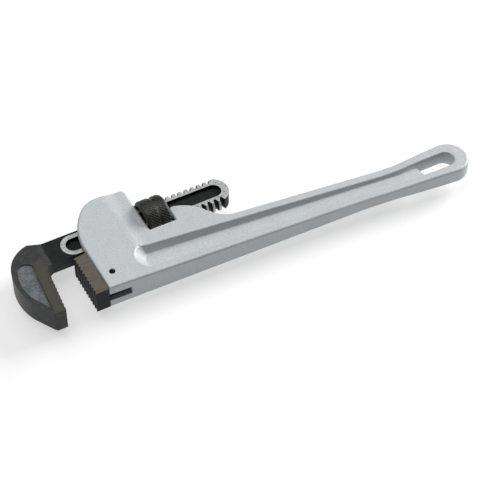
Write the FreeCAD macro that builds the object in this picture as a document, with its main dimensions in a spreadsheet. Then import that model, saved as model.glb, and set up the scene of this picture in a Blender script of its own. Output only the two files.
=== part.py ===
"""Straight aluminium pipe wrench with a threaded hook jaw, a pinned heel jaw and a caged ring nut.

Row frame, millimetres: the origin is the centre of the jaw mouth, in the middle plane of the tool.
+X runs along the shank towards the hanging eye, +Y towards the open side of the nut window and
+Z is square to the flat side that the tool lies on.
"""
import FreeCAD, Part
import os
import re

import Sketcher
from FreeCAD import Vector

# ---------------------------------------------------------------- driving dimensions

SIZES = {
    # jaw mouth and heel jaw
    "mouth": (21.4, "jaw opening at rest"),
    "grip_height": (20.0, "mouth centre above the lower end of the heel jaw"),
    "heel_depth": (10.5, "heel jaw, tooth crests to seat"),
    "heel_height": (38.6, "heel jaw height"),
    "jaw_thick": (19.0, "thickness of both jaws"),
    "heel_pitch": (3.6, "heel tooth pitch"),
    "heel_teeth": (10, "number of heel teeth"),
    "tooth_deep": (1.2, "jaw tooth depth"),
    "hook_pitch": (3.75, "hook tooth pitch"),
    "hook_teeth": (10, "number of hook teeth"),
    "hook_lean": (0.091, "slope of the hook tooth line"),
    "hook_tip": (-2.5, "hook tip above the heel end"),
    "hook_back": (24.3, "hook back behind its tooth line"),
    "hook_thick": (18.4, "thickness of the forged hook beside its ground land"),
    "land_wide": (8.1, "width of the ground land behind the hook teeth"),
    "panel_deep": (0.7, "depth of the forged side panel of the hook"),
    "tongue_thick": (6.4, "heel jaw tongue thickness"),
    "tongue_long": (16.4, "heel jaw tongue length"),
    "tongue_low": (3.6, "tongue lower end above the heel end"),
    "tongue_top": (27.0, "tongue upper end above the heel end"),
    "heel_pin_r": (2.4, "heel jaw pin radius"),
    "heel_pin_u": (8.4, "pin behind the seat"),
    "heel_pin_v": (13.5, "pin above the heel end"),
    "pin_sunk": (1.6, "pin ends below the housing sides"),
    "fit_gap": (0.05, "radial clearance of the pinned and riveted fits"),
    "seat_gap": (0.1, "clearance of the tongue in its slot"),
    # threaded shank and nut
    "axis_height": (53.3, "shank axis above the heel end"),
    "crest_r": (12.3, "thread crest radius"),
    "thread_deep": (2.5, "thread depth"),
    "pitch": (5.08, "thread pitch"),
    "thread_turns": (17, "turns of thread on the shank"),
    "thread_gap": (0.35, "thread running clearance"),
    "shank_end": (120.5, "shank tail behind the seat"),
    "shank_thick": (10.8, "shank thickness over the ground flats"),
    "thread_u": (26.0, "front end of the turned shank behind the seat"),
    "neck_thick": (10.2, "neck thickness"),
    "neck_top": (11.6, "neck top above the axis"),
    "neck_low": (9.7, "neck bottom below the axis"),
    "flat_start": (-13.1, "front end of the ground flat"),
    "rim_wide": (3.6, "width of the ground rim round the side recess"),
    "recess_web": (5.4, "metal left between the side recesses"),
    "nut_r": (16.2, "nut outside radius"),
    "nut_wide": (19.5, "nut width"),
    "nut_gap": (0.5, "end clearance of the nut in its window"),
    "nut_clear": (0.7, "radial clearance round the nut"),
    # housing and handle
    "window_u": (50.0, "nut window front wall behind the seat"),
    "head_top": (84.0, "housing top above the heel end"),
    "head_thick": (20.4, "housing thickness"),
    "body_thick": (16.5, "thickness behind the housing step"),
    "middle_thick": (12.6, "thickness half way along the handle"),
    "middle_u": (165.0, "place of that thickness behind the seat"),
    "waist_thick": (10.0, "thickness at the thinnest part of the handle"),
    "eye_thick": (12.4, "thickness of the hanging eye"),
    "step_u": (30.5, "housing step start"),
    "step_wide": (12.5, "housing step length"),
    "step_low": (16.0, "lower end of the housing step above the heel end"),
    "head_round": (4.0, "radius of the housing's rear top corner"),
    "window_round": (3.0, "radius of the window corners"),
    "passage_thick": (12.4, "width of the shank passage"),
    "roof_gap": (2.6, "passage roof above the thread crests"),
    "floor_gap": (3.3, "passage floor below the thread crests"),
    "handle_end": (296.0, "eye end behind the seat"),
    "eye_r": (15.3, "eye outside radius"),
    "eye_wall": (9.0, "metal round the eye opening"),
    "waist_back": (56.0, "waist in front of the eye end"),
    "waist_top": (13.5, "waist top above the heel end"),
    "belly_drop": (8.3, "fall of the lower edge to the belly point"),
    "belly_back": (91.0, "belly point in front of the eye end"),
    "web_thick": (4.0, "web thickness of the handle section"),
    "rim_low": (7.9, "lower flange height at the channel floor"),
    "rim_top": (8.3, "upper flange height at the channel floor"),
    "channel_u": (36.2, "channel floor start behind the seat"),
    "channel_high": (23.2, "top of the channel floor at its start"),
    "channel_low": (8.4, "bottom of the channel floor at its start"),
    "shoulder_u": (100.0, "bend of the upper flange behind the seat"),
    "shoulder_v": (17.8, "top of the channel floor at that bend"),
    "wall_lean": (0.5, "lean of the channel walls, run over rise"),
    "end_reach": (8.9, "reach of the sloping channel end"),
    "eye_soft": (1.6, "widening of the eye opening at its rim"),
    "hole_long": (27.5, "length of the hanging hole"),
    # springs in the passage
    "leaf_thick": (0.9, "flat spring thickness"),
    "leaf_wide": (9.6, "flat spring width"),
    "leaf_start": (3.0, "flat spring front end behind the seat"),
    "leaf_long": (38.0, "flat spring length"),
    "rivet_r": (1.6, "spring rivet shank radius"),
    "rivet_u": (8.0, "rivet behind the seat"),
    "rivet_deep": (6.0, "rivet depth below the passage floor"),
    "coil_u": (34.0, "coil spring behind the seat"),
    "coil_r": (3.3, "coil spring mean radius"),
    "wire_r": (0.55, "coil spring wire radius"),
    "coil_turns": (5, "coil spring turns"),
    "pocket_deep": (11.0, "spring pocket depth"),
}

doc = FreeCAD.newDocument("pipe_wrench")
sheet = doc.addObject("Spreadsheet::Sheet", "sizes")
for row, (alias, (number, meaning)) in enumerate(SIZES.items(), start=1):
    sheet.set(f"A{row}", meaning)
    sheet.set(f"B{row}", str(number))
    sheet.setAlias(f"B{row}", alias)
doc.recompute()

ALIAS = re.compile(r"\b(" + "|".join(SIZES) + r")\b")

# Names for places that several pieces share.
SEAT = "(mouth / 2 + heel_depth)"
AXIS = "(axis_height - grip_height)"
ROOF = f"({AXIS} + crest_r + roof_gap)"
FLOOR = f"({AXIS} - crest_r - floor_gap)"
CLEAR_R = "(nut_r + nut_clear)"
WINDOW_WIDE = "(nut_wide + 2 * nut_gap)"
ROOT_R = "(crest_r - thread_deep)"
EYE_U = "(handle_end - eye_r)"
SLOT_R = "(eye_r - eye_wall)"
WAIST_U = "(handle_end - waist_back)"
BELLY_U = "(handle_end - belly_back)"
ALL = "200"


def bound(text):
    """The expression with each size's alias addressed in the sheet."""
    return ALIAS.sub(r"sizes.\1", str(text))


def number(text):
    return float(sheet.evalExpression(bound(text)))


def along(u):
    """X of a place given behind the heel jaw's seat."""
    return f"{SEAT} + ({u})"


def up(v):
    """Y of a place given above the heel jaw's lower end."""
    return f"({v}) - grip_height"


def place(u, v):
    return along(u), up(v)


# ---------------------------------------------------------------- sketch helpers

PLANES = {"XY": "XY_Plane", "XZ": "XZ_Plane", "YZ": "YZ_Plane"}


def new_body(label):
    body = doc.addObject("PartDesign::Body", label)
    body.Label = label
    return body


def new_sketch(body, name, plane="XY", lift="0"):
    sketch = body.newObject("Sketcher::SketchObject", f"{body.Name}_{name}")
    origin = [o for o in body.Origin.OriginFeatures if o.Role == PLANES[plane]][0]
    sketch.AttachmentSupport = [(origin, "")]
    sketch.MapMode = "FlatFace"
    sketch.setExpression("AttachmentOffset.Base.z", bound(lift))
    return sketch


def fix_point(sketch, geo, end, x, y):
    """Tie a point of the sketch to expressions for its place."""
    for text, axis, kind in ((x, -2, "DistanceX"), (y, -1, "DistanceY")):
        if str(text) == "0":
            sketch.addConstraint(Sketcher.Constraint("PointOnObject", geo, end, axis))
        else:
            rule = Sketcher.Constraint(kind, -1, 1, geo, end, number(text))
            sketch.setExpression(f"Constraints[{sketch.addConstraint(rule)}]", bound(text))


def outline(sketch, corners):
    """A closed outline. A corner is (x, y), or (x, y, (mid x, mid y)) where an arc leads to it."""
    spots = [Vector(number(c[0]), number(c[1]), 0) for c in corners]
    ends = []
    for i, corner in enumerate(corners):
        before, here = spots[i - 1], spots[i]
        if len(corner) == 2:
            geo = sketch.addGeometry(Part.LineSegment(before, here))
            ends.append((geo, 1, 2))
            continue
        middle = Vector(number(corner[2][0]), number(corner[2][1]), 0)
        geo = sketch.addGeometry(Part.Arc(before, middle, here))
        forward = sketch.getPoint(geo, 1).distanceToPoint(before) < 1e-6
        ends.append((geo, 1, 2) if forward else (geo, 2, 1))
        mark = sketch.addGeometry(Part.Point(middle), True)
        sketch.addConstraint(Sketcher.Constraint("PointOnObject", mark, 1, geo))
        fix_point(sketch, mark, 1, *corner[2])
    for i, (geo, first, last) in enumerate(ends):
        link, start, _ = ends[(i + 1) % len(ends)]
        sketch.addConstraint(Sketcher.Constraint("Coincident", geo, last, link, start))
        fix_point(sketch, geo, last, corners[i][0], corners[i][1])
    return sketch


def circle(sketch, x, y, radius):
    geo = sketch.addGeometry(Part.Circle(Vector(number(x), number(y), 0), Vector(0, 0, 1),
                                         number(radius)))
    rule = sketch.addConstraint(Sketcher.Constraint("Radius", geo, number(radius)))
    sketch.setExpression(f"Constraints[{rule}]", bound(radius))
    fix_point(sketch, geo, 3, x, y)
    return sketch


def box(sketch, x0, y0, x1, y1):
    return outline(sketch, [(x0, y0), (x1, y0), (x1, y1), (x0, y1)])


def solid_feature(body, kind, sketch, length=None, middle=False, back=False):
    """A pad or pocket of a sketch. A pocket has to change the body's volume."""
    before = body.Shape.Volume if body.Tip else 0.0
    feature = body.newObject(f"PartDesign::{kind}", f"{sketch.Name}_{kind.lower()}")
    feature.Profile = sketch
    feature.Midplane = middle
    feature.Reversed = back
    feature.setExpression("Length", bound(length))
    doc.recompute()
    if abs(body.Shape.Volume - before) < 1e-3:
        raise RuntimeError(f"{feature.Name} changes nothing")
    return feature


def pad(body, sketch, length, middle=True, back=False):
    return solid_feature(body, "Pad", sketch, length, middle, back)


def pocket(body, sketch, length, middle=True, back=False):
    return solid_feature(body, "Pocket", sketch, length, middle, back)


def mirrored(body, feature):
    """The same feature on the other side of the middle plane."""
    mirror = body.newObject("PartDesign::Mirrored", f"{feature.Name}_mirror")
    mirror.Originals = [feature]
    plane = [o for o in body.Origin.OriginFeatures if o.Role == "XY_Plane"][0]
    mirror.MirrorPlane = (plane, [""])
    body.Tip = mirror
    doc.recompute()
    return mirror


def revolved(body, sketch, axis="H_Axis"):
    feature = body.newObject("PartDesign::Revolution", f"{sketch.Name}_turned")
    feature.Profile = sketch
    feature.ReferenceAxis = (sketch, [axis])
    feature.Angle = 360.0
    doc.recompute()
    return feature


def helix(body, sketch, kind, turns, axis="H_Axis", pitch="pitch"):
    feature = body.newObject(f"PartDesign::{kind}Helix", f"{sketch.Name}_helix")
    feature.Profile = sketch
    feature.ReferenceAxis = (sketch, [axis])
    feature.Mode = "pitch-turns-angle"
    feature.setExpression("Pitch", bound(pitch))
    feature.setExpression("Turns", bound(turns))
    doc.recompute()
    return feature


def hollowed(body, floor, top):
    """A pocket with leaning walls, between an outline at its floor and one at its rim."""
    before = body.Shape.Volume
    feature = body.newObject("PartDesign::SubtractiveLoft", f"{floor.Name}_hollow")
    feature.Profile = floor
    feature.Sections = [top]
    feature.Ruled = True
    doc.recompute()
    if body.Shape.Volume > before - 1e-3:
        raise RuntimeError(f"{feature.Name} cuts nothing")
    return feature


def rounded(x, y, radius, arrive, leave):
    """Two corners that round a square one. The ways in and out are unit steps along the axes."""
    (ax, ay), (bx, by) = arrive, leave
    bulge = f"{1 - 0.5 ** 0.5:.6f} * {radius}"
    return [(f"{x} - ({ax}) * {radius}", f"{y} - ({ay}) * {radius}"),
            (f"{x} + ({bx}) * {radius}", f"{y} + ({by}) * {radius}",
             (f"{x} + ({bx - ax}) * {bulge}", f"{y} + ({by - ay}) * {bulge}"))]


# ---------------------------------------------------------------- heel jaw

def tooth_row(start, step, count, across, crest):
    """Corners of a saw row: flat crests, one vee between each pair."""
    corners = []
    for i in range(count):
        for share, deep in ((0.0, 0), (0.3, 0), (0.65, 1)):
            corners.append((
                f"{start[0]} + ({i + share}) * {step[0]} + ({deep}) * {across[0]}",
                f"{start[1]} + ({i + share}) * {step[1]} + ({deep}) * {across[1]}"))
    corners.append((f"{start[0]} + {count - 1 + crest} * {step[0]}",
                    f"{start[1]} + {count - 1 + crest} * {step[1]}"))
    return corners


def heel_jaw():
    body = new_body("heel_jaw")
    face = "mouth / 2"
    teeth = tooth_row((face, up(0)), ("0", "heel_pitch"), int(number("heel_teeth")),
                      ("tooth_deep", "0"), 1.3)
    corners = teeth[:-1]
    corners += [(face, up("heel_pitch * heel_teeth")), (face, up("heel_height - 1")),
                place("0", "heel_height"), place("0", "0")]
    pad(body, outline(new_sketch(body, "block"), corners), "jaw_thick")
    tongue = box(new_sketch(body, "tongue"), along("-2"), up("tongue_low"),
                 along("tongue_long"), up("tongue_top"))
    pad(body, tongue, "tongue_thick")
    hole = circle(new_sketch(body, "pin_hole"), *place("heel_pin_u", "heel_pin_v"),
                  "heel_pin_r + fit_gap")
    pocket(body, hole, ALL)
    return body


def heel_jaw_pin():
    pin = doc.addObject("Part::Cylinder", "heel_jaw_pin")
    pin.setExpression("Radius", bound("heel_pin_r"))
    pin.setExpression("Height", bound("head_thick - 2 * pin_sunk"))
    pin.setExpression("Placement.Base.x", bound(along("heel_pin_u")))
    pin.setExpression("Placement.Base.y", bound(up("heel_pin_v")))
    pin.setExpression("Placement.Base.z", bound("pin_sunk - head_thick / 2"))
    return pin


# ---------------------------------------------------------------- nut and hook jaw
# The nut and the threaded shank are drawn about the X axis and lifted to the shank axis.

def lift_to_axis(body):
    body.setExpression("Placement.Base.y", bound(AXIS))


def thread_corners(start, inner, outer, slack):
    """A thread section: wide at the outer radius, narrow at the inner one."""
    half_in, half_out = "0.1 * pitch", "0.29 * pitch"
    return [(f"{start} - {half_in} - {slack}", inner), (f"{start} + {half_in} + {slack}", inner),
            (f"{start} + {half_out} + {slack}", outer), (f"{start} - {half_out} - {slack}", outer)]


NUT_U = "(window_u + nut_gap)"
THREAD_START = f"({SEAT} + {NUT_U} + 0.45 * pitch)"


def adjusting_nut():
    body = new_body("adjusting_nut")
    bore = "(crest_r + thread_gap)"
    front = along(NUT_U)
    steps = [(0, 1), (0, 0.6), (0.08, 0), (0.49, 0), (0.53, 0.25), (0.585, 0.25), (0.625, 0),
             (0.9, 0), (1, 0.6), (1, 1)]
    corners = [(f"{front} + {share} * nut_wide", f"nut_r - {sunk} * (nut_r - {bore})")
               for share, sunk in steps]
    revolved(body, outline(new_sketch(body, "ring"), corners))
    ridge = new_sketch(body, "ridge")
    outline(ridge, thread_corners(THREAD_START, f"{ROOT_R} + thread_gap", f"{bore} + 0.2", "0"))
    helix(body, ridge, "Additive", "(nut_wide - 0.95 * pitch) / pitch")
    lift_to_axis(body)
    return body


def thread_row(body, name, start, side):
    """The thread's grooves on one edge of the flat shank: half rings at the lead angle."""
    lead = f"atan(pitch / (2 * pi * (crest_r - thread_deep / 2))) * ({side})"
    sketch = new_sketch(body, name)
    outline(sketch, thread_corners("0", f"{ROOT_R} * ({side})", f"(crest_r + 0.4) * ({side})",
                                   "thread_gap"))
    sketch.AttachmentOffset = FreeCAD.Placement(Vector(), FreeCAD.Rotation(Vector(0, 1, 0), 1))
    sketch.setExpression("AttachmentOffset.Base.x", bound(start))
    sketch.setExpression("AttachmentOffset.Rotation.Angle", bound(lead))
    before = body.Shape.Volume
    groove = body.newObject("PartDesign::Groove", f"{name}_groove")
    groove.Profile = sketch
    groove.ReferenceAxis = (sketch, ["H_Axis"])
    groove.Midplane = True
    groove.Angle = 180.0
    doc.recompute()
    if body.Shape.Volume > before - 1e-3:
        raise RuntimeError(f"{name} cuts nothing")
    row = body.newObject("PartDesign::LinearPattern", f"{name}_row")
    row.Originals = [groove]
    row.Direction = ([o for o in body.Origin.OriginFeatures if o.Role == "X_Axis"][0], [""])
    row.setExpression("Length", bound("(thread_turns - 1) * pitch"))
    row.setExpression("Occurrences", bound("thread_turns"))
    body.Tip = row
    doc.recompute()
    return row


def hook_jaw():
    """Hook, neck and turned shank, all in the sketch frame of the shank axis."""
    body = new_body("hook_jaw")
    crest = "(-mouth / 2)"

    def spot(du, v):
        """A place given from the tooth line at the mouth centre and from the heel end."""
        return f"{crest} + ({du})", f"({v}) - axis_height"

    def on_line(v, off="0"):
        return spot(f"({v} - grip_height) * hook_lean + ({off})", v)

    # The turned and threaded shank, milled flat on both sides.
    tail = along("shank_end")
    blank = [(along("thread_u"), "0"), (along("thread_u"), "crest_r"), (tail, "crest_r"),
             (tail, "0")]
    revolved(body, outline(new_sketch(body, "blank"), blank))
    flats = new_sketch(body, "flats", lift="shank_thick / 2")
    box(flats, along("thread_u - 1"), "-2 * crest_r", f"{tail} + 1", "2 * crest_r")
    mirrored(body, pocket(body, flats, ALL, middle=False, back=True))
    shoulder = f"{tail} - crest_r"
    corners = [(shoulder, "-crest_r", (tail, "0")), (shoulder, "-crest_r - 2"),
               (f"{tail} + 2", "-crest_r - 2"), (f"{tail} + 2", "crest_r + 2"),
               (shoulder, "crest_r + 2"), (shoulder, "crest_r")]
    pocket(body, outline(new_sketch(body, "tail_round"), corners), ALL)
    first = f"{THREAD_START} - 5 * pitch"
    thread_row(body, "thread_top", first, "1")
    thread_row(body, "thread_low", f"{first} + pitch / 2", "-1")

    # Neck, with the ground flat whose rounded end stands proud of it.
    neck = new_sketch(body, "neck")
    box(neck, spot("-4", "0")[0], "-neck_low", along("thread_u + 3"), "neck_top")
    pad(body, neck, "neck_thick")
    stadium(body, "flat", "flat_start", "thread_u + 4", "neck_low", "shank_thick")

    # The hook itself.
    shape = new_sketch(body, "hook")
    teeth = tooth_row(on_line("hook_tip + 1"), ("hook_pitch * hook_lean", "hook_pitch"),
                      int(number("hook_teeth")), ("-tooth_deep", "0"), 1)
    corners = [on_line("hook_tip")] + teeth + [
        on_line("hook_tip + 1.6 + hook_pitch * hook_teeth"),
        (spot("10", "0")[0], "-neck_low", spot("4.2", "axis_height - neck_low - 1.5")),
        (spot("10", "0")[0], "neck_top"), (spot("-3", "0")[0], "neck_top"),
        (*spot("2 - hook_back", "47"), spot("8.8 - hook_back", "axis_height + neck_top - 6.7")),
        (*spot("4 - hook_back", "14.5"), spot("-hook_back", "32")),
        spot("12.9 - hook_back", "hook_tip + 1.6"), spot("14.6 - hook_back", "hook_tip")]
    pad(body, outline(shape, corners), "hook_thick")

    # The forging thins from the hook to the neck on both sides.
    slope = new_sketch(body, "slope", plane="XZ", lift="-axis_height")
    near_x, far_x = spot("-3", "0")[0], spot("7.5", "0")[0]
    outline(slope, [(near_x, "hook_thick / 2"), (far_x, "neck_thick / 2"),
                    (along("flat_start - 1"), "neck_thick / 2"), (along("flat_start - 1"), "20"),
                    (near_x, "20")])
    mirrored(body, pocket(body, slope, ALL))

    # Ground land behind the teeth, with a round top, and the forged panel beside it.
    top = "hook_tip + 1.6 + hook_pitch * hook_teeth"
    land = [on_line("hook_tip")] + teeth + [
        on_line(top), spot("2.4", "38.6"), spot("2.4", "43.2"),
        (*spot("2.3 - land_wide - 1.1", "43.2"), spot("1.8 - land_wide / 2 - 0.5", "47.8")),
        on_line("hook_tip", "-land_wide")]
    pad(body, outline(new_sketch(body, "land"), land), "jaw_thick")
    panel = new_sketch(body, "panel", lift="hook_thick / 2 - panel_deep")
    outline(panel, [on_line("4.5", "-land_wide - 0.8"), on_line("40", "-land_wide - 0.8"),
                    (*spot("5.6 - hook_back", "44"), spot("9 - hook_back", "48.4")),
                    (*spot("7.4 - hook_back", "15"), spot("3.5 - hook_back", "31")),
                    spot("12.4 - hook_back", "6")])
    mirrored(body, pocket(body, panel, ALL, middle=False, back=True))

    # Long recess in both sides of the shank, inside the ground rim.
    recess = new_sketch(body, "recess", lift="recess_web / 2")
    stadium_outline(recess, "flat_start + rim_wide", "shank_end - 5.5", "neck_low - rim_wide")
    mirrored(body, pocket(body, recess, ALL, middle=False, back=True))
    lift_to_axis(body)
    return body


def stadium_outline(sketch, start, end, half):
    """A bar with round ends between two places behind the seat, centred on the shank axis."""
    left, right = along(f"{start} + {half}"), along(f"{end} - ({half})")
    return outline(sketch, [(right, f"-({half})"), (right, half, (f"{right} + {half}", "0")),
                            (left, half), (left, f"-({half})", (f"{left} - ({half})", "0"))])


def stadium(body, name, start, end, half, thick):
    return pad(body, stadium_outline(new_sketch(body, name), start, end, half), thick)


# ---------------------------------------------------------------- handle

def handle():
    """One casting: housing, nut window, cheeks, flanged handle and hanging eye."""
    body = new_body("handle")
    left, right = along("window_u"), along(f"window_u + {WINDOW_WIDE}")
    floor = f"({AXIS} - 0.8 * {CLEAR_R})"
    cheek = "axis_height - 1.5"
    hump = f"window_u + {WINDOW_WIDE}"
    corners = [
        place("0", "0"), place(BELLY_U, "-belly_drop"), place(EYE_U, "-eye_r"),
        (*place(EYE_U, "eye_r"), place("handle_end", "0")), place(WAIST_U, "waist_top"),
        place(f"{hump} + 40", "axis_height - 28.2"),
        (*place(f"{hump} + 23", "axis_height - 13.8"), place(f"{hump} + 29", "axis_height - 22.3")),
        (*place(f"{hump} + 4.5", cheek), place(f"{hump} + 16.6", "axis_height - 7.3"))]
    corners += rounded(right, up(cheek), "window_round", (-1, 0), (0, -1))
    corners += rounded(right, floor, "window_round", (0, -1), (-1, 0))
    corners += rounded(left, floor, "(window_round / 2)", (-1, 0), (0, 1))
    corners += rounded(left, up("head_top"), "head_round", (0, 1), (-1, 0))
    corners += [place("27", "head_top"),
                (*place("14.2", "head_top - 5.4"), place("20.05", "head_top - 1.4")),
                (*place("0", "head_top - 43"), place("4", "head_top - 20.5"))]
    pad(body, outline(new_sketch(body, "side"), corners), "head_thick")

    # Thickness along the tool: an even taper, a slim waist and a fuller eye.
    back = along("handle_end + 5")
    profile = new_sketch(body, "thickness", plane="XZ")
    outline(profile, [
        (along("step_u + 1.5"), "head_thick / 2"), (along("middle_u"), "middle_thick / 2"),
        (along(f"{WAIST_U} - 14"), "waist_thick / 2"), (along(f"{EYE_U} - 18"), "eye_thick / 2"),
        (back, "eye_thick / 2"), (back, "20"), (along("step_u + 1.5"), "20")])
    mirrored(body, pocket(body, profile, ALL))

    # Above the channel the housing steps down to the thinner cheeks in a soft double curve.
    drop = "(head_thick - body_thick) / 2"
    step = new_sketch(body, "step", plane="XZ", lift=f"-({up('step_low')})")
    outline(step, [
        (along("step_u"), "head_thick / 2"),
        (along("step_u + step_wide / 2"), f"head_thick / 2 - {drop} / 2",
         (along("step_u + step_wide / 4"), f"head_thick / 2 - {drop} / 8")),
        (along("step_u + step_wide"), "body_thick / 2",
         (along("step_u + 0.75 * step_wide"), f"body_thick / 2 + {drop} / 8")),
        (along("shoulder_u + 10"), "body_thick / 2"), (along("shoulder_u + 10"), "20"),
        (along("step_u"), "20")])
    mirrored(body, pocket(body, step, ALL, middle=False))

    # Flanged section: a channel with leaning walls on each side, then the hanging hole.
    rise = "(head_thick / 2 + 1 - web_thick / 2)"
    middle = "(channel_high + channel_low) / 2"
    sections = []
    for name, lift, lean, reach, rim in (("channel", "web_thick / 2", "0", "0", "0"),
                                         ("channel_rim", "head_thick / 2 + 1",
                                          f"wall_lean * {rise}", "end_reach", "eye_soft")):
        sections.append(outline(new_sketch(body, name, lift=lift), [
            (*place(f"channel_u + 5.8 - 0.8 * {reach}", f"channel_low - {lean}"),
             place(f"channel_u - {reach}", f"{middle} - 0.15 * {reach}")),
            place(BELLY_U, f"rim_low - belly_drop - {lean}"),
            place(f"{EYE_U} - 17", f"-{SLOT_R} - {rim}"),
            place(f"{EYE_U} - 3", f"-{SLOT_R} - {rim}"),
            (*place(f"{EYE_U} - 3", f"{SLOT_R} + {rim}"),
             place(f"{EYE_U} - 3 + {SLOT_R} + {rim}", "0")),
            place(WAIST_U, f"waist_top - rim_top + {lean}"),
            place("shoulder_u", f"shoulder_v + {lean}"),
            place(f"channel_u + 4.3 - 0.5 * {reach}", f"channel_high + {lean}")]))
    mirrored(body, hollowed(body, *sections))
    hole_end = f"{EYE_U} - 3"
    hole_start = f"{hole_end} + {SLOT_R} - hole_long"
    hole = new_sketch(body, "hanging_hole")
    outline(hole, [place(hole_start, f"-{SLOT_R}"), place(hole_end, f"-{SLOT_R}"),
                   (*place(hole_end, SLOT_R), place(f"{hole_end} + {SLOT_R}", "0")),
                   place(hole_start, SLOT_R)])
    pocket(body, hole, ALL)

    # Shank passage through the housing and the open slot between the cheeks.
    half = "passage_thick / 2"
    passage = box(new_sketch(body, "passage", "YZ", along("window_u + 1")), FLOOR, f"-{half}",
                  ROOF, half)
    pocket(body, passage, ALL, middle=False)
    slot = box(new_sketch(body, "slot", "YZ", along(f"{hump} - 1")), FLOOR, f"-{half}",
               f"{AXIS} + 2 * crest_r", half)
    pocket(body, slot, ALL, middle=False, back=True)
    seat = circle(new_sketch(body, "nut_seat", "YZ", left), AXIS, "0", CLEAR_R)
    pocket(body, seat, WINDOW_WIDE, middle=False, back=True)

    # Heel jaw slot and pin hole, spring pocket and rivet hole.
    heel_slot = box(new_sketch(body, "heel_slot"), along("-1"), up("-3"),
                    along("tongue_long + 4 * seat_gap"), up("tongue_top + seat_gap"))
    pocket(body, heel_slot, "tongue_thick + 2 * seat_gap")
    pin_hole = circle(new_sketch(body, "pin_hole"), *place("heel_pin_u", "heel_pin_v"), "heel_pin_r")
    pocket(body, pin_hole, ALL)
    for name, spot, radius, deep in (("coil_pocket", "coil_u", "coil_r + wire_r + 0.4", "pocket_deep"),
                                     ("rivet_hole", "rivet_u", "rivet_r", "rivet_deep")):
        drill = new_sketch(body, name, "XZ", f"-({FLOOR} + 0.5)")
        circle(drill, along(spot), "0", radius)
        pocket(body, drill, f"{deep} + 0.5", middle=False, back=True)
    return body


# ---------------------------------------------------------------- springs under the shank

LEAF_TOP = f"({AXIS} - crest_r - 0.25)"


def flat_spring():
    """Leaf riveted to the passage floor, rising to bear on the lower thread crests."""
    body = new_body("flat_spring")
    start, end = along("leaf_start"), along("leaf_start + leaf_long")
    bend, crown = along("rivet_u + 6"), along("coil_u - 6")
    corners = [(start, FLOOR), (bend, FLOOR), (crown, f"{LEAF_TOP} - leaf_thick"),
               (end, f"{LEAF_TOP} - leaf_thick"), (end, LEAF_TOP), (crown, LEAF_TOP),
               (bend, f"{FLOOR} + leaf_thick"), (start, f"{FLOOR} + leaf_thick")]
    pad(body, outline(new_sketch(body, "edge"), corners), "leaf_wide")
    hole = circle(new_sketch(body, "rivet_hole", "XZ"), along("rivet_u"), "0", "rivet_r + fit_gap")
    pocket(body, hole, ALL)
    return body


def spring_rivet():
    body = new_body("spring_rivet")
    top = f"({FLOOR} + leaf_thick)"
    low = f"({FLOOR} - rivet_deep)"
    revolved(body, outline(new_sketch(body, "half"), [
        ("0", low), ("rivet_r", low), ("rivet_r", top), ("2 * rivet_r", top),
        ("1.7 * rivet_r", f"{top} + 0.9"), ("0", f"{top} + 0.9")]), axis="V_Axis")
    body.setExpression("Placement.Base.x", bound(along("rivet_u")))
    return body


def coil_spring():
    body = new_body("coil_spring")
    low = f"({FLOOR} - pocket_deep + wire_r + 0.1)"
    high = f"({LEAF_TOP} - leaf_thick - wire_r - 0.1)"
    wire = circle(new_sketch(body, "wire"), "coil_r", low, "wire_r")
    helix(body, wire, "Additive", "coil_turns", "V_Axis", f"({high} - {low}) / coil_turns")
    body.setExpression("Placement.Base.x", bound(along("coil_u")))
    return body


def build():
    return [handle(), heel_jaw(), heel_jaw_pin(), adjusting_nut(), hook_jaw(), flat_spring(),
            spring_rivet(), coil_spring()]


def write(pieces):
    os.makedirs("parts", exist_ok=True)
    doc.recompute()
    for thing in doc.Objects:
        if {"Invalid", "Error"} & set(thing.State):
            raise RuntimeError(f"{thing.Name} failed: {thing.State}")
    for piece in pieces:
        if piece.Shape.isNull() or not piece.Shape.isValid():
            raise RuntimeError(f"{piece.Label} has no valid shape")
    for piece in pieces:
        piece.Shape.exportStep(f"parts/{piece.Label}.step")
        print(piece.Label, len(piece.Shape.Solids), round(piece.Shape.Volume / 1000, 2), "cm3")


write(build())
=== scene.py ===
"""Looks of a straight pipe wrench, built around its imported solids.

Lengths are metres. +X runs along the tool to the hanging eye, +Z is square to its flat side.
"""
import math

import bmesh
import bpy
from bpy.props import FloatProperty, FloatVectorProperty, PointerProperty
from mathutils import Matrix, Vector


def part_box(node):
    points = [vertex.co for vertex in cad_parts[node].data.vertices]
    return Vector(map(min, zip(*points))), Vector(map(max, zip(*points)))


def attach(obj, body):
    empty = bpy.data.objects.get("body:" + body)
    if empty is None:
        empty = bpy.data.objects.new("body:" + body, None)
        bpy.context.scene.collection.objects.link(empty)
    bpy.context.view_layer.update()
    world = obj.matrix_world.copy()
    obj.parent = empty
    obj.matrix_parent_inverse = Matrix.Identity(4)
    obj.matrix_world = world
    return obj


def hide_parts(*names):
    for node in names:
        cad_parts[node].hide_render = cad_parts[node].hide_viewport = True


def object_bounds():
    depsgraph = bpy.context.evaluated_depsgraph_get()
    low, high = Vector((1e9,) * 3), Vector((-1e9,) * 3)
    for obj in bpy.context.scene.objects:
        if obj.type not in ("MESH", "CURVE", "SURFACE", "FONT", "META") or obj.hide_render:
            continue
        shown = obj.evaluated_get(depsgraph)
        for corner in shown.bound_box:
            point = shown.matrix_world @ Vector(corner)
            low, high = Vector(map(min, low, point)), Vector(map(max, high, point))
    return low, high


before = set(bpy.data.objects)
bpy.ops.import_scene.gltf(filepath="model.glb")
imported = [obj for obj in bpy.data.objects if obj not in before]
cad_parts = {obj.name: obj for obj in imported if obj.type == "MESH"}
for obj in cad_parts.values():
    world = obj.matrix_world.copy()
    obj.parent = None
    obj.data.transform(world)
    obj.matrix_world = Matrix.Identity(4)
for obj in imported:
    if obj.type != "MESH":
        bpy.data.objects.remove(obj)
CAD_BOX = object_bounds()

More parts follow.
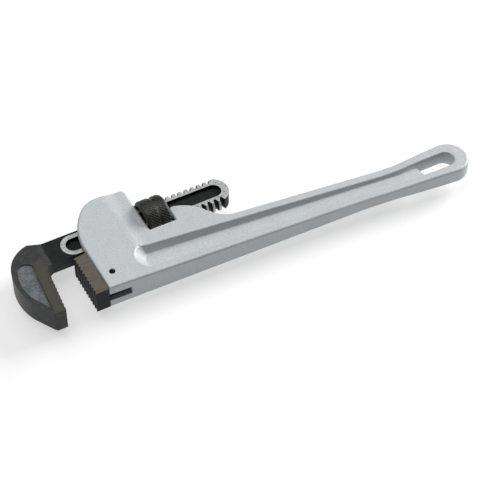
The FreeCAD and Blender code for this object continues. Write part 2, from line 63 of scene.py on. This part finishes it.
bl_info = {
    "name": "Pipe Wrench",
    "version": (1, 0, 0),
    "blender": (4, 5, 0),
    "location": "View3D > Sidebar > Wrench",
    "description": "Builds the looks of a pipe wrench around its packed solids",
    "category": "Object",
}

MM = 0.001
NUT_LOW, NUT_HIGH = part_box("adjusting_nut")
NUT_R = (NUT_HIGH.z - NUT_LOW.z) / 2
NUT_WIDE = NUT_HIGH.x - NUT_LOW.x
SHANK_Y = (NUT_HIGH.y + NUT_LOW.y) / 2
HOOK_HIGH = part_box("hook_jaw")[1]
SEAT_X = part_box("handle")[0].x
HEEL_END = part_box("heel_jaw")[0].y
PIN_LOW, PIN_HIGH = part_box("heel_jaw_pin")


# ---------------------------------------------------------------- user settings

def colour(name, description, default):
    return FloatVectorProperty(name=name, description=description, subtype="COLOR", size=3,
                               min=0.0, max=1.0, default=default)


def length(name, description, default):
    return FloatProperty(name=name, description=description, unit="LENGTH", default=default,
                         precision=5)


class WrenchFinish(bpy.types.PropertyGroup):
    """Colours of the tool's surfaces."""
    coating: colour("Coating", "Textured coating of the cast handle", (0.455, 0.480, 0.492))
    forged: colour("Forged skin", "Dark skin of the hook forging", (0.022, 0.024, 0.022))
    panel: colour("Panel", "Lighter scale in the side panels of the hook", (0.095, 0.104, 0.110))
    land: colour("Ground land", "Ground steel beside the hook teeth", (0.042, 0.038, 0.031))
    bright: colour("Ground rim", "Freshly ground steel of the shank", (0.43, 0.44, 0.44))
    heel: colour("Heel side", "Ground sides of the heel jaw", (0.090, 0.078, 0.063))
    black: colour("Black steel", "Hardened black steel", (0.008, 0.009, 0.009))
    nut: colour("Nut", "Black oxide of the nut", (0.013, 0.015, 0.012))
    # Pale colour of the knurl points: rubbed wear plus a painted highlight of their glints.
    rubbed_and_glint: colour("Rubbed oxide", "Points of the knurl", (0.150, 0.155, 0.150))
    spring: colour("Spring steel", "Springs and rivet", (0.30, 0.30, 0.30))


class WrenchShape(bpy.types.PropertyGroup):
    """Sizes of the finer shapes."""
    cast_round: length("Casting edge", "Rounding of the casting's rims", 1.75 * MM)
    knurl_deep: length("Knurl depth", "Depth of the nut's knurl", 0.60 * MM)
    knurl_step: length("Knurl step", "Distance between knurl points", 1.70 * MM)


class WrenchStage(bpy.types.PropertyGroup):
    """Camera and floor."""
    azimuth: FloatProperty(name="Azimuth", description="Camera direction round the tool",
                           subtype="ANGLE", default=math.radians(-28.18))
    elevation: FloatProperty(name="Elevation", description="Camera height above the horizon",
                             subtype="ANGLE", default=math.radians(47.85))
    lens: FloatProperty(name="Lens", description="Focal length in millimetres", default=119.7)
    eye: FloatVectorProperty(name="Camera place", description="Where the camera stands",
                             subtype="XYZ", size=3, default=(-0.2382, -0.6962, 0.8540))
    floor: colour("Floor", "Pale floor", (0.45, 0.45, 0.45))
    glow: FloatProperty(name="Floor glow", description="Light given off by the floor", default=0.55)
    sky: FloatProperty(name="Sky", description="Brightness of the room round the tool",
                       default=0.10)


# ---------------------------------------------------------------- shader maths

class Wire:
    """A shader value that takes part in Python sums."""

    def __init__(self, tree, socket):
        self.tree = tree
        self.socket = socket

    def math(self, operation, *others):
        return self.tree.node("ShaderNodeMath", {"operation": operation}, [self, *others])

    def __add__(self, other):
        return self.math("ADD", other)

    def __radd__(self, other):
        return self.math("ADD", other)

    def __sub__(self, other):
        return self.math("SUBTRACT", other)

    def __rsub__(self, other):
        return self.tree.node("ShaderNodeMath", {"operation": "SUBTRACT"}, [other, self])

    def __mul__(self, other):
        return self.math("MULTIPLY", other)

    def __rmul__(self, other):
        return self.math("MULTIPLY", other)

    def __pow__(self, other):
        return self.math("POWER", other)

    def ramp(self, low, high):
        """0 below low, 1 above high, smooth between."""
        return self.tree.node("ShaderNodeMapRange", {"interpolation_type": "SMOOTHSTEP"},
                              {"Value": self, "From Min": low, "From Max": high})


class Finish:
    """One material being built."""

    def __init__(self, name):
        self.material = bpy.data.materials.new(name)
        self.material.use_nodes = True
        self.nodes = self.material.node_tree.nodes
        self.links = self.material.node_tree.links
        self.shader = self.nodes["Principled BSDF"]

    def node(self, kind, settings=None, inputs=None, output=0):
        """Any node: its settings first, then the values or links of its sockets."""
        made = self.nodes.new(kind)
        for key, value in (settings or {}).items():
            setattr(made, key, value)
        pairs = inputs.items() if isinstance(inputs, dict) else enumerate(inputs or [])
        for key, value in pairs:
            if isinstance(value, Wire):
                self.links.new(value.socket, made.inputs[key])
            else:
                made.inputs[key].default_value = value
        return Wire(self, made.outputs[output])

    def place(self, scale=(1.0, 1.0, 1.0)):
        """Object coordinates, stretched by a scale on each axis."""
        here = self.node("ShaderNodeTexCoord", output="Object")
        return self.node("ShaderNodeMapping", {}, {"Vector": here, "Scale": scale})

    def axes(self):
        """The X, Y and Z of the object coordinates."""
        here = self.node("ShaderNodeTexCoord", output="Object")
        split = self.node("ShaderNodeSeparateXYZ", {}, [here])
        outputs = split.socket.node.outputs
        return [Wire(self, outputs[i]) for i in range(3)]

    def noise(self, scale, detail=3.0, rough=0.5, stretch=(1.0, 1.0, 1.0)):
        return self.node("ShaderNodeTexNoise", {}, {
            "Vector": self.place(stretch), "Scale": scale, "Detail": detail, "Roughness": rough})

    def mix(self, factor, first, second):
        """Blend of two colours."""
        made = self.nodes.new("ShaderNodeMix")
        made.data_type = "RGBA"
        for socket, value in ((made.inputs[0], factor), (made.inputs[6], first),
                              (made.inputs[7], second)):
            if isinstance(value, Wire):
                self.links.new(value.socket, socket)
            elif isinstance(value, float):
                socket.default_value = value
            else:
                socket.default_value = (*value[:3], 1.0)
        return Wire(self, made.outputs[2])

    def shades(self, base, spread):
        """A darker and a lighter neighbour of a colour."""
        dark = tuple(c * (1 - spread) for c in base)
        light = tuple(min(1.0, c * (1 + spread)) for c in base)
        return dark, light

    def bump(self, height, distance, strength=1.0):
        return self.node("ShaderNodeBump", {}, {
            "Height": height, "Distance": distance, "Strength": strength})

    def set(self, **values):
        for key, value in values.items():
            socket = self.shader.inputs[key.replace("_", " ")]
            if isinstance(value, Wire):
                self.links.new(value.socket, socket)
            else:
                socket.default_value = value
        return self.material


def coating_finish(colours):
    """Light grey textured coating over a blasted casting."""
    finish = Finish("cast_coating")
    grain = finish.noise(1250.0, 3.0, 0.65)
    peel = finish.noise(520.0, 2.0)
    cloud = finish.noise(40.0, 3.0)
    dark, light = finish.shades(tuple(colours.coating), 0.16)
    tint = finish.mix(grain.ramp(0.30, 0.70) * 0.75 + cloud * 0.25, dark, light)
    height = finish.bump(grain + peel * 0.7, 0.00022, 0.7)
    return finish.set(Base_Color=tint, Roughness=0.36 + grain * 0.2, Metallic=0.12,
                      Specular_IOR_Level=0.6, Normal=height)


def forged_finish(name, base, patch, share, rough=0.36):
    """Forged and oiled skin: a fine orange peel with scattered lighter scale."""
    finish = Finish(name)
    mottle = finish.noise(210.0, 4.0, 0.6)
    scale = finish.noise(950.0, 3.0, 0.6)
    dark, light = finish.shades(base, 0.30)
    tint = finish.mix(mottle.ramp(0.35, 0.68), dark, light)
    tint = finish.mix(scale.ramp(0.52, 0.70) * share, tint, patch)
    height = finish.bump(mottle * 0.8 + scale * 0.9, 0.00020, 0.65)
    return finish.set(Base_Color=tint, Roughness=rough + mottle * 0.16, Metallic=0.0,
                      Specular_IOR_Level=0.28, Normal=height)


def ground_finish(name, base, stretch, metallic=0.85, rough=0.30, spread=0.16, stain=0.35):
    """Ground steel: fine parallel scratches along one direction under small dark stains."""
    finish = Finish(name)
    lines = finish.noise(900.0, 4.0, 0.7, stretch)
    spots = finish.noise(720.0, 4.0, 0.65)
    dark, light = finish.shades(base, spread)
    tint = finish.mix(lines.ramp(0.30, 0.70), dark, light)
    tint = finish.mix(spots.ramp(0.50, 0.68) * stain, tint, tuple(c * 0.22 for c in base))
    height = finish.bump(lines + spots * 0.5, 0.00006, 0.6)
    return finish.set(Base_Color=tint, Roughness=rough + lines * 0.2, Metallic=metallic,
                      Normal=height)


def oxide_finish(name, base, rough=0.34, gloss=0.45):
    """Black oxide with a dry oily sheen."""
    finish = Finish(name)
    haze = finish.noise(240.0, 4.0, 0.6)
    dark, light = finish.shades(base, 0.4)
    tint = finish.mix(haze.ramp(0.3, 0.7), dark, light)
    height = finish.bump(finish.noise(1500.0, 3.0), 0.00006, 0.5)
    return finish.set(Base_Color=tint, Roughness=rough + haze * 0.15, Metallic=0.0,
                      Specular_IOR_Level=gloss, Normal=height)


def knurl_finish(name, base, worn_and_glint):
    """Black oxide, pale on the points of the knurl: partly rubbed wear, partly a painted highlight
    that stands in for the glints of the points.
    """
    finish = Finish(name)
    _, y, z = finish.axes()
    across = y - SHANK_Y
    reach = (across * across + z * z) ** 0.5
    haze = finish.noise(240.0, 4.0, 0.6)
    dark, light = finish.shades(base, 0.4)
    tint = finish.mix(haze.ramp(0.3, 0.7), dark, light)
    # The knurl points are painted pale: rubbed wear, and a painted highlight for their glints.
    tint = finish.mix(reach.ramp(NUT_R - 0.30 * MM, NUT_R - 0.06 * MM), tint, worn_and_glint)
    return finish.set(Base_Color=tint, Roughness=0.32 + haze * 0.12, Metallic=0.0,
                      Specular_IOR_Level=0.5)


# ---------------------------------------------------------------- mesh helpers

def copy_of(node, name, merge=1e-6, flat=0.5):
    """A merged copy of a CAD node's mesh with its flat triangles joined into faces."""
    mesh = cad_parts[node].data.copy()
    mesh.name = name
    mesh.materials.clear()
    bm = bmesh.new()
    bm.from_mesh(mesh)
    bmesh.ops.remove_doubles(bm, verts=bm.verts, dist=merge)
    bmesh.ops.dissolve_limit(bm, angle_limit=math.radians(flat), verts=bm.verts, edges=bm.edges,
                             delimit={"MATERIAL"})
    bm.to_mesh(mesh)
    bm.free()
    piece = bpy.data.objects.new(name, mesh)
    bpy.context.scene.collection.objects.link(piece)
    return piece


def finish_piece(piece, body, slot, *nodes):
    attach(piece, body)
    if nodes:
        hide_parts(*nodes)
    return piece


def coat(piece, materials, choose=None):
    """The piece's materials, and which of them each face gets from its centre and normal."""
    for material in materials:
        piece.data.materials.append(material)
    if choose:
        for face in piece.data.polygons:
            face.material_index = choose(face.center, face.normal)


def soften(piece, width=0.0, weigh=None, segments=3, crease=34.0):
    """Smooth shading between creases, and edges rounded by a share of the width.

    weigh(centre, faces, angle) returns the share. The faces are the edge's two, the one that
    stands most upright first.
    """
    bm = bmesh.new()
    bm.from_mesh(piece.data)
    shares = bm.edges.layers.float.new("bevel_weight_edge")
    for face in bm.faces:
        face.smooth = True
    for edge in bm.edges:
        if len(edge.link_faces) != 2:
            continue
        angle = math.degrees(edge.calc_face_angle(0.0))
        share = 0.0
        if weigh and angle > 8.0:
            centre = (edge.verts[0].co + edge.verts[1].co) / 2
            faces = sorted(edge.link_faces, key=lambda face: abs(face.normal.z))
            share = weigh(centre, faces, angle)
        edge[shares] = share
        edge.smooth = share > 0.0 or angle < crease
    bm.to_mesh(piece.data)
    bm.free()
    if weigh:
        bevel = piece.modifiers.new("edge rounding", "BEVEL")
        bevel.width = width
        bevel.segments = segments
        bevel.limit_method = "WEIGHT"
        bevel.use_clamp_overlap = False
    normals = piece.modifiers.new("flat faces", "WEIGHTED_NORMAL")
    normals.keep_sharp = True


# ---------------------------------------------------------------- pieces

class WRENCH_OT_handle(bpy.types.Operator):
    """Cast handle with its coating"""
    bl_idname = "wrench.handle"
    bl_label = "Cast Handle"

    def execute(self, context):
        scene = context.scene
        piece = copy_of("handle", "cast_handle", flat=1.6)
        coat(piece, [coating_finish(scene.wrench_finish)])
        soften(piece, scene.wrench_shape.cast_round, self.share, 4)
        finish_piece(piece, "handle_body", "cast_body", "handle")
        return {"FINISHED"}

    def share(self, centre, faces, angle):
        """Widest on the outer rims, half on the channel's, finest round the pin, none inside.

        A whole chain of edges gets one width, so that no rounding runs out sideways.
        """
        behind, above = centre.x - SEAT_X, centre.y - HEEL_END
        steep, flat = (abs(face.normal.z) for face in faces)
        depth = abs(centre.z)
        in_passage = depth < 7.5 * MM and behind < 102 * MM and above > 24 * MM
        in_heel_slot = depth < 3.6 * MM and behind < 30 * MM
        if flat < 0.85 or angle < 20.0 or in_passage or in_heel_slot:
            return 0.0
        if depth < 2.1 * MM:
            return 0.45
        pin = (PIN_LOW + PIN_HIGH) / 2
        if math.hypot(centre.x - pin.x, centre.y - pin.y) < 3 * MM:
            return 0.12
        return 0.5 if steep > 0.12 else 1.0


class WRENCH_OT_hook_jaw(bpy.types.Operator):
    """Forged hook jaw with its ground and threaded shank"""
    bl_idname = "wrench.hook_jaw"
    bl_label = "Hook Jaw"

    def execute(self, context):
        scene = context.scene
        colours = scene.wrench_finish
        piece = copy_of("hook_jaw", "hook_forging")
        bright = tuple(colours.bright)
        coat(piece, [
            forged_finish("forged_skin", tuple(colours.forged), tuple(colours.panel), 0.35),
            forged_finish("forged_panel", tuple(colours.panel),
                          tuple(c * 2.6 for c in colours.panel), 0.8, 0.42),
            ground_finish("ground_land", tuple(colours.land), (1.0, 0.08, 1.0), 0.4, 0.36),
            ground_finish("ground_rim", bright, (0.15, 1.0, 1.0), 0.55, 0.34, 0.2, 0.85),
            ground_finish("ground_teeth", bright, (1.0, 1.0, 0.15), 0.55, 0.34, 0.2, 0.4),
            oxide_finish("recess_black", tuple(colours.black), 0.45, 0.15)], self.choose)
        soften(piece)
        finish_piece(piece, "hook_body", "hook_steel", "hook_jaw")
        return {"FINISHED"}

    def choose(self, centre, normal):
        skin, panel, land, rim, teeth, black = range(6)
        flat = abs(normal.z) > 0.98
        depth = abs(centre.z)
        in_shank = centre.x > SEAT_X - 13.5 * MM and depth < 5.35 * MM
        if flat and depth > HOOK_HIGH.z - 0.05 * MM:
            return land
        if flat and 8.0 * MM < depth < 8.9 * MM:
            return panel
        if flat and 5.3 * MM < depth < 5.5 * MM:
            return rim
        if in_shank and (flat or abs(centre.y - SHANK_Y) < 8 * MM):
            return black
        if centre.x > SEAT_X + 25.5 * MM:
            outer = math.hypot(centre.y - SHANK_Y, centre.z) > 12.1 * MM
            return teeth if outer and centre.x < HOOK_HIGH.x - 8 * MM else black
        if -8 * MM > centre.x > -13.5 * MM and centre.y < SHANK_Y - 12 * MM and depth < 9.6 * MM:
            return black if not flat else skin
        return skin


class WRENCH_OT_heel_jaw(bpy.types.Operator):
    """Heel jaw insert"""
    bl_idname = "wrench.heel_jaw"
    bl_label = "Heel Jaw"

    def execute(self, context):
        colours = context.scene.wrench_finish
        piece = copy_of("heel_jaw", "heel_insert")
        coat(piece, [
            ground_finish("heel_side", tuple(colours.heel), (0.06, 1.0, 1.0), 0.3, 0.4, 0.3, 0.5),
            oxide_finish("heel_black", tuple(colours.black), 0.42, 0.2)],
            lambda centre, normal: 0 if abs(normal.z) > 0.9 else 1)
        soften(piece, 0.2 * MM, lambda centre, faces, angle: float(angle > 30.0), 2)
        finish_piece(piece, "handle_body", "heel_steel", "heel_jaw")
        return {"FINISHED"}


class WRENCH_OT_nut(bpy.types.Operator):
    """Ring nut with two knurled bands"""
    bl_idname = "wrench.nut"
    bl_label = "Adjusting Nut"

    def execute(self, context):
        shape = context.scene.wrench_shape
        oxide = oxide_finish("nut_oxide", tuple(context.scene.wrench_finish.nut))
        ring = copy_of("adjusting_nut", "ring_nut")
        self.sink_bands(ring.data, NUT_R - shape.knurl_deep - 0.05 * MM)
        coat(ring, [oxide])
        soften(ring, 0.5 * MM, self.share)
        finish_piece(ring, "nut_body", "nut_steel", "adjusting_nut")
        # The knurl bands: black oxide with pale points, partly rubbed wear and partly painted
        # highlight.
        rubbed_and_glint = knurl_finish("knurl_oxide_and_glint", tuple(context.scene.wrench_finish.nut),
                              tuple(context.scene.wrench_finish.rubbed_and_glint))
        for name, start, end in (("wide", 0.085, 0.485), ("narrow", 0.63, 0.895)):
            band = self.knurl(name, NUT_LOW.x + start * NUT_WIDE, NUT_LOW.x + end * NUT_WIDE, shape)
            coat(band, [rubbed_and_glint])
            finish_piece(band, "nut_body", "nut_steel")
        return {"FINISHED"}

    def sink_bands(self, mesh, radius):
        """Draw the bands of the ring in to the root of the knurl."""
        for vert in mesh.vertices:
            reach = math.hypot(vert.co.y - SHANK_Y, vert.co.z)
            if reach > radius:
                vert.co.y = SHANK_Y + (vert.co.y - SHANK_Y) * radius / reach
                vert.co.z *= radius / reach

    def share(self, centre, faces, angle):
        outer = math.hypot(centre.y - SHANK_Y, centre.z) > NUT_R - 3 * MM
        ring = abs(faces[0].normal.x - faces[1].normal.x) > 0.15
        return 1.0 if outer and ring and angle > 14.0 else 0.0

    def knurl(self, name, start, end, shape):
        """A closed ring whose outer skin rises to points in a diamond pattern."""
        columns = 2 * round((end - start) / shape.knurl_step * math.sqrt(2))
        rows = 4 * round(math.tau * NUT_R / shape.knurl_step / math.sqrt(2))
        root, foot = NUT_R - shape.knurl_deep, NUT_R - shape.knurl_deep - 0.6 * MM
        bm = bmesh.new()
        line = [bm.verts.new((start, foot, 0.0))]
        line += [bm.verts.new((start + (end - start) * i / columns, root, 0.0))
                 for i in range(columns + 1)]
        line.append(bm.verts.new((end, foot, 0.0)))
        edges = [bm.edges.new(pair) for pair in zip(line, line[1:] + line[:1])]
        bmesh.ops.spin(bm, geom=line + edges, cent=(0.0, 0.0, 0.0), axis=(1.0, 0.0, 0.0),
                       angle=math.tau, steps=rows, use_merge=True, use_duplicate=False)
        bmesh.ops.remove_doubles(bm, verts=bm.verts, dist=1e-6)
        for vert in bm.verts:
            reach = math.hypot(vert.co.y, vert.co.z)
            column = round((vert.co.x - start) / (end - start) * columns)
            row = round((math.atan2(vert.co.z, vert.co.y) % math.tau) / math.tau * rows)
            if reach > root - 0.1 * MM and column % 2 == 1 and (row - column) % 4 == 0:
                vert.co.y *= (NUT_R - 0.02 * MM) / reach
                vert.co.z *= (NUT_R - 0.02 * MM) / reach
        bmesh.ops.recalc_face_normals(bm, faces=bm.faces)
        bmesh.ops.translate(bm, verts=bm.verts, vec=(0.0, SHANK_Y, 0.0))
        mesh = bpy.data.meshes.new(f"knurl_{name}")
        bm.to_mesh(mesh)
        bm.free()
        band = bpy.data.objects.new(f"knurl_{name}", mesh)
        bpy.context.scene.collection.objects.link(band)
        return band


class WRENCH_OT_springs(bpy.types.Operator):
    """Pin, rivet and springs inside the housing"""
    bl_idname = "wrench.springs"
    bl_label = "Pin and Springs"

    def execute(self, context):
        steel = ground_finish("spring_wire", tuple(context.scene.wrench_finish.spring),
                              (1.0, 1.0, 0.2))
        # The pin is black oxide steel, kept dark and dull so that its end, deep in its hole, gives
        # the hole painted shade.
        dark = oxide_finish("pin_oxide_and_hole_shade", tuple(context.scene.wrench_finish.black), 0.6, 0.1)
        for node, material in (("coil_spring", steel), ("flat_spring", steel),
                               ("spring_rivet", steel), ("heel_jaw_pin", dark)):
            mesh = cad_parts[node].data
            mesh.materials.clear()
            mesh.materials.append(material)
        return {"FINISHED"}


class WRENCH_OT_stage(bpy.types.Operator):
    """Floor, lights and camera"""
    bl_idname = "wrench.stage"
    bl_label = "Stage"

    def execute(self, context):
        stage = context.scene.wrench_stage
        self.floor(stage)
        self.world(context.scene, stage)
        for name, place, size, power in (
                ("top", (-0.02, 0.50, 1.30), 1.4, 11.5),
                ("right", (2.70, 0.50, 1.24), 1.6, 118.0),
                ("left", (-0.85, 0.35, 0.75), 0.7, 1.8)):
            self.light(name, Vector(place), size, power)
        self.camera(context.scene, stage)
        return {"FINISHED"}

    def floor(self, stage):
        bm = bmesh.new()
        bmesh.ops.create_grid(bm, x_segments=1, y_segments=1, size=3.0)
        bmesh.ops.translate(bm, verts=bm.verts, vec=(0.0, 0.0, CAD_BOX[0][2]))
        mesh = bpy.data.meshes.new("floor")
        bm.to_mesh(mesh)
        bm.free()
        floor = bpy.data.objects.new("floor", mesh)
        bpy.context.scene.collection.objects.link(floor)
        finish = Finish("floor")
        mesh.materials.append(finish.set(Base_Color=(*stage.floor, 1.0), Roughness=0.9,
                                         Specular_IOR_Level=0.1, Emission_Strength=stage.glow,
                                         Emission_Color=(1.0, 1.0, 1.0, 1.0)))

    def world(self, scene, stage):
        world = bpy.data.worlds.new("studio")
        world.use_nodes = True
        world.node_tree.nodes["Background"].inputs["Color"].default_value = (1, 1, 1, 1)
        world.node_tree.nodes["Background"].inputs["Strength"].default_value = stage.sky
        scene.world = world
        scene.view_settings.view_transform = "Standard"

    def light(self, name, place, size, power):
        lamp = bpy.data.lights.new(name, "AREA")
        lamp.energy = power
        lamp.size = size
        holder = bpy.data.objects.new(name, lamp)
        holder.location = place
        aim = Vector((0.12, 0.0, 0.0)) - place
        holder.rotation_euler = aim.to_track_quat("-Z", "Y").to_euler()
        bpy.context.scene.collection.objects.link(holder)

    def camera(self, scene, stage):
        data = bpy.data.cameras.new("view")
        data.lens = stage.lens
        data.sensor_width = 36.0
        camera = bpy.data.objects.new("view", data)
        camera.location = stage.eye
        azimuth, elevation = stage.azimuth, stage.elevation
        camera.rotation_euler = (math.pi / 2 - elevation, 0.0, azimuth)
        scene.collection.objects.link(camera)
        scene.camera = camera


class WRENCH_PT_panel(bpy.types.Panel):
    """Buttons for each piece"""
    bl_label = "Pipe Wrench"
    bl_idname = "WRENCH_PT_panel"
    bl_space_type = "VIEW_3D"
    bl_region_type = "UI"
    bl_category = "Wrench"

    def draw(self, context):
        for step in STEPS:
            self.layout.operator(step.bl_idname)


STEPS = (WRENCH_OT_handle, WRENCH_OT_hook_jaw, WRENCH_OT_heel_jaw, WRENCH_OT_nut,
         WRENCH_OT_springs, WRENCH_OT_stage)
CLASSES = (WrenchFinish, WrenchShape, WrenchStage, *STEPS, WRENCH_PT_panel)


def register():
    for item in CLASSES:
        bpy.utils.register_class(item)
    bpy.types.Scene.wrench_finish = PointerProperty(type=WrenchFinish)
    bpy.types.Scene.wrench_shape = PointerProperty(type=WrenchShape)
    bpy.types.Scene.wrench_stage = PointerProperty(type=WrenchStage)


def unregister():
    del bpy.types.Scene.wrench_finish
    del bpy.types.Scene.wrench_shape
    del bpy.types.Scene.wrench_stage
    for item in reversed(CLASSES):
        bpy.utils.unregister_class(item)


def main():
    register()
    for step in STEPS:
        group, action = step.bl_idname.split(".")
        getattr(getattr(bpy.ops, group), action)()


if __name__ == "__main__":
    main()
